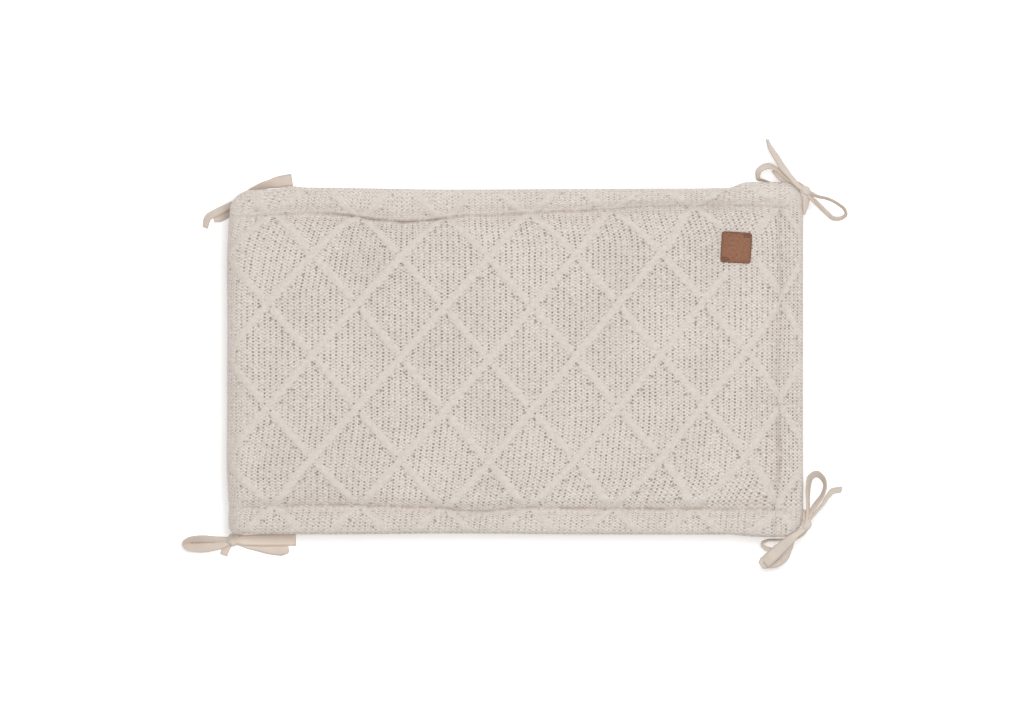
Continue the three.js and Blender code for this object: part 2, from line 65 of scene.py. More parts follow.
# Diamond lattice of cables, on the knit before it is taken up
LATTICE_X, LATTICE_Y = -118.6, 5.07
PITCH_X, PITCH_Y = 88.36, 105.0
LATTICE_UNIT = 1 / math.hypot(1 / PITCH_X, 1 / PITCH_Y)
TOP_ROW, BOTTOM_ROW, END_ROW = LATTICE_Y + 157.5, LATTICE_Y - 157.5, LATTICE_X + 4.5 * PITCH_X
CABLE_RISE, CABLE_HALF_WIDTH, CABLE_AT_STITCH = 1.3, 4.4, 0.35
UNDERPASS_FROM, UNDERPASS_TO = 4.4, 8.0

# Stitches of the knit
COLUMN, COURSE = PITCH_X / 15, PITCH_Y / 30
HOLE_DEPTH = 0.7

# How the knit is taken up towards the stitch lines, and gathered along the long ones
TAKE_UP_EVENLY, TAKE_UP_POWER, TAKE_UP_FROM, TAKE_UP_END = 0.35, 8, 60.0, 236.0
GATHER_BY, GATHER_ABOUT, GATHER_FADES = 0.035, -100.0, 38.0
SIDE_DRIFT = [(-251, 0), (-160, 2.4), (-30, 3.4), (60, 3.4), (150, 1.8), (235, 0)]

# Share of a flange's width from its stitch line, and the length of knit that lies on it
FLANGE_OUT = (0, 0.06, 0.15, 0.35, 1)
FLANGE_KNIT = (0, 5, 10, 17.5, 36)
END_FLANGE_KNIT = 35.0

# Uneven edges and stitch lines of the top layer: place along the strip, then place across it
TOP_EDGE = [(-292, 174), (-262, 175), (-238, 178), (-212, 176.4), (-66, 174.5), (188, 175.5), (226, 176),
            (248, 182), (292, 182.5)]
BOTTOM_EDGE = [(-292, -175), (-188, -175.5), (-66, -174.5), (86, -175.5), (225, -175.6), (263, -178.3),
               (292, -178.3)]
TOP_STITCH = [(-284, 147.6), (-205, 150.5), (-112, 141.8), (-35, 148.3), (63, 152.5), (161, 157.3),
              (242, 158.5), (292, 156)]
BOTTOM_STITCH = [(-284, -148.6), (-200, -146), (-82, -148.6), (-40, -152.5), (13, -148.8), (120, -150),
                 (292, -150)]
END_STITCH = [(-150, 262), (-106, 268), (-17, 265.8), (90, 269.3), (150, 267.5)]
LATTICE_DRIFT = [(-289, 1), (-188, 1.5), (-35, -3), (106, 1), (269, 7.1)]
DRAWN_IN_BY, DRAWN_IN_FROM, DRAWN_IN_TO, DRAWN_IN_FADES = 16.0, 140.0, 175.0, 60.0

# How strongly shade is painted in each stitch line's groove: place along it, then strength
TOP_SEAM_SHADE = [(-284, 0.2), (-215, 0.3), (-160, 0.8), (-82, 0.8), (-50, 0.45), (60, 0.5), (150, 0.4),
                  (240, 0.4), (275, 0.3)]
BOTTOM_SEAM_SHADE = [(-284, 0.4), (-150, 0.7), (-30, 0.6), (60, 0.75), (190, 0.85), (250, 0.5), (275, 0.3)]
END_SEAM_SHADE = [(-150, 0.1), (-118, 0.4), (-78, 0.4), (-50, 0.15), (100, 0.15), (150, 0.1)]

# Leather patch
PATCH_X, PATCH_Y, PATCH_TURN = 224.5, 115.7, -3.5
PATCH_WIDTH, PATCH_HEIGHT, PATCH_THICK, PATCH_CORNER = 30.8, 31.4, 1.5, 3.0
PATCH_SEAT_INNER, PATCH_SEAT_OUTER = 20.0, 30.0

# Heights of the mid-planes, and the folds between them
BOTTOM_Z = BACK
MIDDLE_Z = BOTTOM_Z + 2 * FRONT + LAYER_GAP
TOP_Z = MIDDLE_Z + 2 * BACK + LAYER_GAP
LEFT_FOLD_Z = (MIDDLE_Z + TOP_Z) / 2
LEFT_FOLD_RADIUS = BACK + LAYER_GAP / 2
LEFT_FOLD_OUTER = LEFT_FOLD_RADIUS + FRONT
LEFT_FOLD_X = FOLD_X + LEFT_FOLD_OUTER
RIGHT_FOLD_Z = (BOTTOM_Z + MIDDLE_Z) / 2
RIGHT_FOLD_RADIUS = FRONT + LAYER_GAP / 2
RIGHT_FOLD_X = LOWER_FOLD_X - RIGHT_FOLD_RADIUS - BACK

# The photograph's frame, straight from above: a pixel is 1.0145 mm of the top layer
PHOTO_WIDTH_MM = 1024 * 1.0145
PHOTO_CENTRE = (-3.0, 7.1)


def ease(t):
    c = np.clip(t, 0, 1)
    return c * c * (3 - 2 * c)


def along(table, at):
    xs, ys = np.array(table, float).T
    at = np.clip(at, xs[0], xs[-1])
    i = np.clip(np.searchsorted(xs, at) - 1, 0, len(xs) - 2)
    return ys[i] + (ys[i + 1] - ys[i]) * ease((at - xs[i]) / (xs[i + 1] - xs[i]))


def fade(at, start, length):
    """Rises from 0 at the start to 1 a length further on, which is the other way if it is negative."""
    return ease((at - start) / length)


def ripple(x, y, scale, seed):
    """A smooth, repeatable unevenness between -1 and 1."""
    rng = np.random.default_rng(seed)
    total = np.zeros(np.broadcast(x, y).shape)
    for _ in range(5):
        angle, phase = rng.uniform(0, math.tau, 2)
        size = scale * rng.uniform(0.7, 1.5)
        total = total + np.sin((x * math.cos(angle) + y * math.sin(angle)) * math.tau / size + phase)
    return total / 5


# Camera, floor and light

CAMERA_HEIGHT, CLIP_END = 3.0, 10
FLOOR_HALF, FLOOR_WHITE, FLOOR_ROUGHNESS, FLOOR_GLOW = 6.0, 0.93, 0.9, 0.30
SKY = 0.50
KEY_PLACE, KEY_SIZE, KEY_POWER = (0.42, 0.45, 4.0), 1.6, 96


def make_camera():
    data = bpy.data.cameras.new("camera")
    data.type = "ORTHO"
    data.ortho_scale = PHOTO_WIDTH_MM * MM
    data.clip_end = CLIP_END
    camera = bpy.data.objects.new("camera", data)
    camera.location = (PHOTO_CENTRE[0] * MM, PHOTO_CENTRE[1] * MM, CAMERA_HEIGHT)
    bpy.context.collection.objects.link(camera)
    bpy.context.scene.camera = camera


def make_key_light():
    data = bpy.data.lights.new("key", "AREA")
    data.shape = "DISK"
    data.size = KEY_SIZE
    data.energy = KEY_POWER
    light = bpy.data.objects.new("key", data)
    light.location = KEY_PLACE
    light.rotation_euler = (-Vector(KEY_PLACE)).to_track_quat("-Z", "Y").to_euler()
    bpy.context.collection.objects.link(light)


def make_floor():
    mesh = bpy.data.meshes.new("floor")
    corners = [(x * FLOOR_HALF, y * FLOOR_HALF, 0) for x, y in ((-1, -1), (1, -1), (1, 1), (-1, 1))]
    mesh.from_pydata(corners, [], [(0, 1, 2, 3)])
    floor = bpy.data.objects.new("floor", mesh)
    bpy.context.collection.objects.link(floor)
    material = bpy.data.materials.new("floor")
    material.use_nodes = True
    shader = material.node_tree.nodes["Principled BSDF"]
    shader.inputs["Base Color"].default_value = (FLOOR_WHITE, FLOOR_WHITE, FLOOR_WHITE, 1)
    shader.inputs["Roughness"].default_value = FLOOR_ROUGHNESS
    shader.inputs["Emission Color"].default_value = (1, 1, 1, 1)
    shader.inputs["Emission Strength"].default_value = FLOOR_GLOW
    mesh.materials.append(material)


def make_studio():
    make_floor()
    world = bpy.data.worlds.new("studio")
    world.use_nodes = True
    world.node_tree.nodes["Background"].inputs["Color"].default_value = (1, 1, 1, 1)
    world.node_tree.nodes["Background"].inputs["Strength"].default_value = SKY
    bpy.context.scene.world = world
    make_key_light()
    bpy.context.scene.view_settings.view_transform = "Standard"


# Material nodes

class Nodes:
    """Short ways to make and join the nodes of one material."""

    def __init__(self, name):
        self.material = bpy.data.materials.new(name)
        self.material.use_nodes = True
        self.tree = self.material.node_tree
        self.shader = self.tree.nodes["Principled BSDF"]

    def add(self, kind, **settings):
        node = self.tree.nodes.new(kind)
        for key, value in settings.items():
            setattr(node, key, value)
        return node

    def feed(self, socket, value):
        if isinstance(value, bpy.types.NodeSocket):
            self.tree.links.new(value, socket)
        else:
            socket.default_value = value

    def math(self, operation, first, second=0.0, third=0.0):
        node = self.add("ShaderNodeMath", operation=operation)
        for socket, value in zip(node.inputs, (first, second, third)):
            self.feed(socket, value)
        return node.outputs[0]

    def plus(self, first, second):
        return self.math("ADD", first, second)

    def minus(self, first, second):
        return self.math("SUBTRACT", first, second)

    def times(self, first, second):
        return self.math("MULTIPLY", first, second)

    def signed(self, value):
        """How far a value is from the nearest whole number, with its sign."""
        return self.minus(self.math("FRACT", self.plus(value, 0.5)), 0.5)

    def length(self, first, second):
        return self.math("SQRT", self.plus(self.times(first, first), self.times(second, second)))

    def spread(self, value, low, high, to_low=0.0, to_high=1.0):
        node = self.add("ShaderNodeMapRange", interpolation_type="SMOOTHSTEP")
        for socket, number in zip(node.inputs, (value, low, high, to_low, to_high)):
            self.feed(socket, number)
        return node.outputs[0]

    def attribute(self, name):
        return self.add("ShaderNodeAttribute", attribute_name=name).outputs["Fac"]

    def layer(self, name):
        parts = self.add("ShaderNodeSeparateXYZ")
        self.feed(parts.inputs[0], self.add("ShaderNodeUVMap", uv_map=name).outputs[0])
        return parts.outputs[0], parts.outputs[1]

    def blend(self, share, first, second):
        node = self.add("ShaderNodeMix", data_type="RGBA")
        self.feed(node.inputs[0], share)
        self.feed(node.inputs[6], first)
        self.feed(node.inputs[7], second)
        return node.outputs[2]

    def noise(self, scale, detail=2.0, roughness=0.5):
        node = self.add("ShaderNodeTexNoise")
        node.inputs["Scale"].default_value = scale
        node.inputs["Detail"].default_value = detail
        node.inputs["Roughness"].default_value = roughness
        self.feed(node.inputs["Vector"], self.place())
        return node.outputs["Fac"]

    def jitter(self, scale, size):
        return self.times(self.minus(self.noise(scale), 0.5), size)

    def place(self):
        return self.add("ShaderNodeTexCoord").outputs["Object"]

    def bump(self, height, distance, strength=1.0):
        node = self.add("ShaderNodeBump")
        node.inputs["Strength"].default_value = strength
        node.inputs["Distance"].default_value = distance
        self.feed(node.inputs["Height"], height)
        return node.outputs["Normal"]

    def finish(self, color, normal, roughness, sheen=0.0, sheen_roughness=0.5):
        self.feed(self.shader.inputs["Base Color"], color)
        self.feed(self.shader.inputs["Normal"], normal)
        self.shader.inputs["Roughness"].default_value = roughness
        self.shader.inputs["Sheen Weight"].default_value = sheen
        self.shader.inputs["Sheen Roughness"].default_value = sheen_roughness
        return self.material


# Colours of the yarn, from the painted highlight and shade on the loops down to the painted shade in the
# holes and the stitch lines
LOOP_LIGHT = (0.805, 0.734, 0.672, 1)
LOOP_SHADE = (0.570, 0.506, 0.454, 1)
CABLE_LIGHT = (0.738, 0.671, 0.611, 1)
CABLE_SHADE = (0.622, 0.560, 0.505, 1)
# Painted shade in the holes of the knit and the pits beside the cables
HOLE_PAINTED_SHADE = (0.300, 0.252, 0.214, 1)
# Painted shade in the stitch lines' grooves, along the bottom rim and round the left fold
PAINTED_SHADE_DARK = (0.280, 0.215, 0.165, 1)

# A cable shows fully inside its core and ends at its rim, which wanders a little
CABLE_CORE, CABLE_RIM = 3.0, 4.7
CABLE_WANDER = (220.0, 2.0)

# Pits beside a cable, where shade is painted: how far from its middle and how often along it, in lattice
# units
PIT_BESIDE, PITS_PER_UNIT = 0.108, 4
PIT_PHASE = 0.25
PIT_CORE, PIT_RADIUS = 0.5, 2.1

# Holes of the knit: width and height in stitches, how strong those in between are, how all are shifted
MAIN_HOLE, BETWEEN_HOLE, BETWEEN_STRENGTH = (0.27, 0.40), (0.20, 0.32), 0.36
HOLE_CORE, HOLE_STRENGTH = 0.2, 0.95
SHIFT_ACROSS, SHIFT_UP = (110.0, 0.34), (95.0, 0.44)

# Scales of the unevenness of the yarn, per metre
HOLE_SCALE, PLY_SCALE, SOFT_SCALE, PATCHY_SCALE, SEAM_SCALE = 190.0, 560.0, 230.0, 14.0, 150.0
# Share of the ply in the cables' tone; contrast of the ply's flecks, partly painted highlight, and of the
# painted highlight and shade along the loops' slanting strokes
PLY_SHARE, PLY_CONTRAST, STROKE_CONTRAST = 0.65, 4.6, -0.26


def cable_masks(n):
    """1 on a cable, and 1 in the pits along its lower side, where shade is painted."""
    falling, rising = n.layer("lattice")
    from_falling = n.times(n.math("ABSOLUTE", n.signed(falling)), LATTICE_UNIT)
    from_rising = n.times(n.math("ABSOLUTE", n.signed(rising)), LATTICE_UNIT)
    wander = n.jitter(*CABLE_WANDER)
    over = n.spread(n.plus(from_rising, wander), CABLE_CORE, CABLE_RIM, 1.0, 0.0)
    under = n.spread(n.plus(from_falling, wander), CABLE_CORE, CABLE_RIM, 1.0, 0.0)
    under = n.times(under, n.spread(from_rising, UNDERPASS_FROM, UNDERPASS_TO))
    cable = n.times(n.math("MAXIMUM", over, under), n.attribute("cabled"))

    def pits(across, length, side):
        off = n.signed(n.plus(across, side * PIT_BESIDE))
        step = n.times(n.signed(n.plus(n.times(length, PITS_PER_UNIT), PIT_PHASE)), 1 / PITS_PER_UNIT)
        first, second = n.plus(off, step), n.minus(off, step)
        return n.length(n.times(first, PITCH_X / 2), n.times(second, PITCH_Y / 2))

    nearest = n.math("MINIMUM", pits(falling, rising, 1), pits(rising, falling, -1))
    pit = n.spread(nearest, PIT_CORE, PIT_RADIUS, 1.0, 0.0)
    return cable, n.times(pit, n.attribute("cabled"))


def stitch_masks(n):
    """Main holes, fainter holes between them, and the slanting strokes of the loops."""
    across, up = n.layer("knit")
    across = n.plus(across, n.jitter(*SHIFT_ACROSS))
    up = n.plus(up, n.jitter(*SHIFT_UP))

    def holes(shift, wide, tall):
        far = n.length(n.times(n.signed(n.plus(across, shift)), 1 / wide),
                       n.times(n.signed(n.plus(up, shift)), 1 / tall))
        return n.spread(far, HOLE_CORE, 1.0, 1.0, 0.0)

    slant = n.minus(up, n.math("ABSOLUTE", n.signed(across)))
    stroke = n.math("COSINE", n.times(slant, math.tau))
    return holes(0.0, *MAIN_HOLE), holes(0.5, *BETWEEN_HOLE), stroke


def knit_material():
    n = Nodes("cream_knit")
    main, between, stroke = stitch_masks(n)
    cable, pit = cable_masks(n)
    ground = n.times(n.minus(1.0, cable), n.attribute("open"))
    uneven = n.spread(n.noise(HOLE_SCALE, 1.0), 0.33, 0.67, 0.30, 1.15)
    holes = n.times(n.math("MAXIMUM", main, n.times(between, BETWEEN_STRENGTH)), uneven)
    # Painted shade in the open holes and in the pits beside the cables; the same mask also sinks the bump
    deep = n.math("MAXIMUM", n.times(holes, ground), n.times(pit, n.spread(uneven, 0.3, 0.9, 0.30, 0.85)))
    ply = n.noise(PLY_SCALE, 2.0, 0.8)
    soft = n.noise(SOFT_SCALE)
    # Painted highlight and shade along the loops' slanting strokes, with the ply's flecks
    loop_highlight_and_fleck = n.plus(n.times(stroke, STROKE_CONTRAST), n.times(n.minus(ply, 0.5), PLY_CONTRAST))
    tone = n.spread(n.plus(loop_highlight_and_fleck, n.jitter(PATCHY_SCALE, 0.9)), -0.9, 0.9)
    loops = n.blend(tone, LOOP_SHADE, LOOP_LIGHT)
    strands = n.plus(n.times(ply, PLY_SHARE), n.times(soft, 1 - PLY_SHARE))
    twist = n.blend(n.spread(strands, 0.34, 0.66), CABLE_SHADE, CABLE_LIGHT)
    color = n.blend(cable, loops, twist)
    color = n.blend(n.math("MINIMUM", n.times(deep, HOLE_STRENGTH), 1.0), color, HOLE_PAINTED_SHADE)
    # Painted shade in the stitch lines' grooves, along the bottom rim and round the left fold
    seam = n.times(n.attribute("seam"), n.spread(n.noise(SEAM_SCALE), 0.30, 0.60, 0.30, 1.0))
    color = n.blend(seam, color, PAINTED_SHADE_DARK)
    height = n.minus(n.times(stroke, -0.15), deep)
    height = n.plus(n.times(height, n.spread(cable, 0.0, 1.0, 1.0, 0.5)), n.times(ply, 0.9))
    return n.finish(color, n.bump(height, 0.0008, 0.85), 0.95, 0.15, 0.6)


# Colours of the tape, a darker line along its woven hem and painted shade at its rounded edges: where the hem
# runs, its half width and how the edge darkens
TAPE_SHADE = (0.650, 0.565, 0.492, 1)
TAPE_LIGHT = (0.710, 0.622, 0.546, 1)
# Painted light for the tape in the pad's shadow beside the front edge
TAPE_PAINTED_LIGHT = (0.930, 0.800, 0.690, 1)
TAPE_HEM_AND_EDGE_SHADE = (0.430, 0.318, 0.235, 1)
HEM_AT, HEM_CORE, HEM_RIM, HEM_STRENGTH = 4.9, 0.1, 0.5, 0.30
EDGE_FROM, EDGE_TO, EDGE_STRENGTH = 5.0, 6.2, 0.45
THREADS_PER_MM, TAPE_GRAIN, TAPE_PATCHY = 0.9, 1500.0, 60.0


def tape_material():
    n = Nodes("cotton_tape")
    across, length = n.layer("weave")
    warp = n.math("SINE", n.times(across, math.tau * THREADS_PER_MM))
    weft = n.math("SINE", n.times(length, math.tau * THREADS_PER_MM))
    grain = n.noise(TAPE_GRAIN)
    height = n.plus(n.times(n.times(warp, weft), 0.25), grain)
    color = n.blend(n.spread(n.noise(TAPE_PATCHY), 0.3, 0.7), TAPE_SHADE, TAPE_LIGHT)
    # Painted light where the pad's shadow falls on the tape
    color = n.blend(n.attribute("painted_light"), color, TAPE_PAINTED_LIGHT)
    from_middle = n.math("ABSOLUTE", across)
    from_hem = n.math("ABSOLUTE", n.minus(from_middle, HEM_AT))
    hem = n.spread(from_hem, HEM_CORE, HEM_RIM, HEM_STRENGTH, 0.0)
    # Painted shade where the tape's rounded edges turn away from the light
    edge = n.spread(from_middle, EDGE_FROM, EDGE_TO, 0.0, EDGE_STRENGTH)
    color = n.blend(n.math("MAXIMUM", hem, edge), color, TAPE_HEM_AND_EDGE_SHADE)
    return n.finish(color, n.bump(height, 0.0002, 0.5), 0.9, 0.10, 0.5)


LEATHER_SHADE = (0.206, 0.078, 0.032, 1)
LEATHER_LIGHT = (0.297, 0.122, 0.056, 1)
LEATHER_EDGE = (0.120, 0.042, 0.020, 1)
PORE_SCALE, CREASE_SCALE, LEATHER_FINE, LEATHER_PATCHY = 800.0, 260.0, 420.0, 60.0


def leather_material():
    n = Nodes("tan_leather")
    pores = n.add("ShaderNodeTexVoronoi", feature="DISTANCE_TO_EDGE")
    pores.inputs["Scale"].default_value = PORE_SCALE
    n.feed(pores.inputs["Vector"], n.place())
    grain = n.math("MINIMUM", pores.outputs["Distance"], 0.25)
    tone = n.spread(n.plus(n.noise(LEATHER_FINE, 3.0), n.jitter(LEATHER_PATCHY, 0.3)), 0.3, 0.7)
    color = n.blend(tone, LEATHER_SHADE, LEATHER_LIGHT)
    # Darker towards the edge, in the pressed border and on the stitches' thread
    darkened = n.blend(n.attribute("edge"), color, LEATHER_EDGE)
    height = n.plus(n.times(grain, 1.6), n.noise(CREASE_SCALE, 3.0))
    return n.finish(darkened, n.bump(height, 0.0003, 0.5), 0.62)


# The padded strip: knit places are taken along (u) and across (v), then laid where the knit comes to lie

U_STEP = COLUMN / 3
V_STEP = COURSE / 2
FIRST_U = LATTICE_X - 26 * PITCH_X / 12
RIM_SHARES = (1.0, 0.992, 0.978, 0.958, 0.93)
BACK_ROWS = 33
HIDDEN_ROWS = 33
SWAY_LOW, SWAY_HIGH = 0.11, 0.19
SWAY_BELOW, SWAY_ABOVE = -60, 70
# Painted shade: its overall strength, then its strength along the bottom rim and round the left fold
PAINTED_SHADE_STRENGTH, RIM_SHADE, FOLD_SHADE = 0.9, 0.3, 0.06
END_GROOVE, FOLD_GROOVE = 0.6, 0.2
SWELL, PUCKER, CREASE = 0.8, 0.9, 1.1

# At the left fold: where the cables, relief and open holes begin, and where the shallow groove and the
# painted shade end, each with the length over which it does
CABLES_FADE, RELIEF_FADE, HOLES_FADE = (-303, 16), (-304, 26), (-300, 40)
GROOVE_FADE, SHADE_FADE = (-272, -20), (-266, -22)

# How open the holes stay on the fold, at the rims and on the stitch lines, and how far the flanges close them
OPEN_ON_FOLD, OPEN_AT_RIM, OPEN_AT_STITCH = 0.25, 0.40, 0.25
CLOSED_TOP_FLANGE, CLOSED_BOTTOM_FLANGE = 0.45, 0.20


def taken_up(knit, start, end):
    near = np.maximum((knit - start) / (end - start), 0)
    return TAKE_UP_EVENLY * near + (1 - TAKE_UP_EVENLY) * near ** TAKE_UP_POWER


def sway(u, v):
    """How far the columns of stitches lean from the lattice."""
    low = SWAY_LOW * np.minimum(v - SWAY_BELOW, 0) * (0.95 - 0.25 * u / 280)
    high = SWAY_HIGH * np.maximum(v - SWAY_ABOVE, 0) * fade(u, -110, -100) * fade(u, -302, 45)
    return (low * fade(u, -310, 40) + high) * fade(u, END_ROW, -40)


def reach(u, y, top_stitch, bottom_stitch):
    """Where a place on the knit comes to lie along the strip."""
    seam = along(END_STITCH, y)
    inside = np.minimum(top_stitch - y, y - bottom_stitch)
    near = ease(1 - inside / GATHER_FADES) * ease((END_ROW - u) / GATHER_FADES)
    gathered = GATHER_BY * (u - GATHER_ABOUT) * near
    slack = taken_up(u, TAKE_UP_END, END_ROW) * (seam - END_ROW)
    field = u + along(SIDE_DRIFT, u) - gathered + slack
    flange = seam + (END_X - seam) * (u - END_ROW) / END_FLANGE_KNIT
    return np.where(u >= END_ROW, flange, field)


def knit_rows(count=None):
    """Knit places across the strip, closer together at the rims."""
    rims = TOP_ROW + np.interp(RIM_SHARES, FLANGE_OUT, FLANGE_KNIT)
    if count:
        field = np.linspace(BOTTOM_ROW - 30, TOP_ROW + 30, count)
    else:
        field = LATTICE_Y + V_STEP * np.arange(-200, 201)
        field = field[(field < rims[-1] - 0.6) & (field > 2 * LATTICE_Y - rims[-1] + 0.6)]
    lower = 2 * LATTICE_Y - rims
    return np.concatenate([lower, field, rims[::-1]])


def rows_across(v, border, inset):
    """The y of every knit place at every station."""
    top, bottom, top_stitch, bottom_stitch, drift = border
    field = (v + drift + (top_stitch - TOP_ROW - drift) * taken_up(v, TAKE_UP_FROM, TOP_ROW)
             + (bottom_stitch - BOTTOM_ROW - drift) * taken_up(-v, TAKE_UP_FROM, -BOTTOM_ROW))
    above = np.interp(v - TOP_ROW, FLANGE_KNIT, FLANGE_OUT)
    below = np.interp(BOTTOM_ROW - v, FLANGE_KNIT, FLANGE_OUT)
    y = np.where(v > TOP_ROW, top_stitch + (top - inset - top_stitch) * above, field)
    return np.where(v < BOTTOM_ROW, bottom_stitch + (bottom + inset - bottom_stitch) * below, y)


def rim_units(a, b):
    r = CORNER / LOWER_FLANGE
    rounded = np.maximum(r - np.hypot(r - np.minimum(a, r), r - np.minimum(b, r)), 0)
    return np.where((a < r) & (b < r), rounded, np.minimum(a, b))


def off_stitch(units):
    return np.minimum(np.abs(units - 1) / STITCH_SPREAD, 1)


def fullness(units):
    rise = (1 - (1 - np.minimum(units / RIM_ROUND, 1)) ** RIM_POWER) ** (1 / RIM_POWER)
    return FLANGE_FULLNESS * rise - STITCH_DEPTH * (1 - off_stitch(units) ** 2) ** 2


def crown(units, y):
    return ease((units - 1) / SHOULDER) * (CROWN_EDGE + CROWN_MIDDLE * (1 - (y / LOWER_HALF_WIDTH) ** 2))


def lattice_place(u, v):
    a, b = (u - LATTICE_X) / PITCH_X, (v - LATTICE_Y) / PITCH_Y
    return a + b, a - b


def cable_height(u, v):
    """The rising cables run on over every crossing; the falling ones dip under them."""
    falling, rising = lattice_place(u, v)
    from_falling = np.abs(falling - np.round(falling)) * LATTICE_UNIT
    from_rising = np.abs(rising - np.round(rising)) * LATTICE_UNIT

    def rounded(d):
        return np.sqrt(np.clip(1 - (d / CABLE_HALF_WIDTH) ** 2, 0, 1))

    under = rounded(from_falling) * ease((from_rising - UNDERPASS_FROM) / (UNDERPASS_TO - UNDERPASS_FROM))
    return CABLE_RISE * np.maximum(rounded(from_rising), under)


def knit_holes(u, v):
    across, up = (u - LATTICE_X) / COLUMN, (v - LATTICE_Y) / COURSE
    du, dv = across - np.round(across), up - np.round(up)
    return np.exp(-((du / 0.22) ** 2) - (dv / 0.3) ** 2)


def place_on_fold(fold_x, fold_z, radius, side, turned):
    sin, cos = np.sin(turned), np.cos(turned)
    return fold_x + side * radius * sin, fold_z + radius * cos, -sin, cos * -side


def place_on_top(at):
    turned = np.maximum((LEFT_FOLD_X - at) / LEFT_FOLD_OUTER, 0)
    x, z, face_x, face_z = place_on_fold(LEFT_FOLD_X, LEFT_FOLD_Z, LEFT_FOLD_RADIUS, -1, turned)
    return np.where(turned > 0, x, at), z, face_x, face_z


def draw_in(x, y, fold):
    pull = np.clip((y - DRAWN_IN_FROM) / (DRAWN_IN_TO - DRAWN_IN_FROM), 0, 1)
    return x + DRAWN_IN_BY * fold * pull ** 3


def seam_shade(at, y, y_low, top_stitch, bottom_stitch):
    """How dark shade is painted: in each stitch line's crease, a narrow band that wanders and breaks a
    little, then along the bottom rim and the fold.
    """
    wander = 0.7 * ripple(at, 0 * y, 31, 7)
    width = 1.5 + 0.6 * ripple(at, 0.2 * y, 19, 8)
    top = along(TOP_SEAM_SHADE, at) * np.exp(-(((y - top_stitch + wander) / width) ** 2))
    bottom = along(BOTTOM_SEAM_SHADE, at) * np.exp(-(((y - bottom_stitch - 1 + wander) / width) ** 2))
    end = along(END_SEAM_SHADE, y) * np.exp(-(((at - along(END_STITCH, y)) / 3.0) ** 2))
    inside = (y < top_stitch + 2) & (y > bottom_stitch - 2)
    ends = fade(at, END_X - 12, -10)
    rim = np.maximum(RIM_SHADE * fade(y, y_low + 4.5, -4), FOLD_SHADE * fade(at, *SHADE_FADE))
    sewn = np.maximum(np.maximum(top, bottom) * ends, np.where(inside, end, 0))
    return np.clip(np.maximum(sewn, rim), 0, 1) * PAINTED_SHADE_STRENGTH


def openness(at, y, units, top_stitch, bottom_stitch):
    """How open, deep and shade-painted the knit's holes are: closed up at the rims, the stitch lines and
    round the fold.
    """
    fold = OPEN_ON_FOLD + (1 - OPEN_ON_FOLD) * fade(at, *HOLES_FADE)
    rim = OPEN_AT_RIM + (1 - OPEN_AT_RIM) * ease(units / 0.3)
    nearest = np.minimum(np.abs(y - top_stitch), np.abs(y - bottom_stitch))
    stitched = OPEN_AT_STITCH + (1 - OPEN_AT_STITCH) * fade(nearest, 1, 6)
    top_flange = 1 - CLOSED_TOP_FLANGE * fade(y, top_stitch, 3)
    bottom_flange = 1 - CLOSED_BOTTOM_FLANGE * fade(y, bottom_stitch, -3)
    return fold * rim * stitched * top_flange * bottom_flange


def top_looks(at, y, units, seat, border):
    """Where the cables, the open holes and the painted shade of the stitch lines, bottom rim and fold show on
    the upper face.
    """
    _, bottom, top_stitch, bottom_stitch, _ = border
    return {"cabled": ease(units / 0.25) * seat * fade(at, *CABLES_FADE),
            "open": openness(at, y, units, top_stitch, bottom_stitch),
            "seam": seam_shade(at, y, bottom, top_stitch, bottom_stitch)}


def shallow_groove(at, units, end, from_side):
    """How much of the groove's depth is missing near the free end and on the fold."""
    at_end = (1 - END_GROOVE) * ease((from_side - end) / 0.5)
    at_fold = (1 - FOLD_GROOVE) * fade(at, *GROOVE_FADE)
    return STITCH_DEPTH * (1 - off_stitch(units) ** 2) ** 2 * np.maximum(at_end, at_fold)


def with_relief(half, knit_place, at, y, units, seat, looks):
    """The filled half with its cables, holes, swelling, puckers and creases, in millimetres."""
    plain_u, u, v = knit_place
    raised = cable_height(u, v)
    holes = knit_holes(plain_u, v) * (1 - ease(raised / CABLE_RISE * 2)) * looks["open"]
    sewn = CABLE_AT_STITCH + (1 - CABLE_AT_STITCH) * off_stitch(units)
    round_fold = fade(at, *RELIEF_FADE)
    detail = raised * sewn * round_fold - HOLE_DEPTH * holes * round_fold
    swell = SWELL * ripple(at, y, 70, 4) * ease((units - 1.2) / 0.6)
    pucker = PUCKER * ripple(at, 0.25 * y, 24, 5) * np.exp(-(((units - 1) / 0.45) ** 2))
    rims = ease(units / RIM_ROUND)
    return half + rims * seat * detail + rims * (swell + pucker - CREASE * looks["seam"])


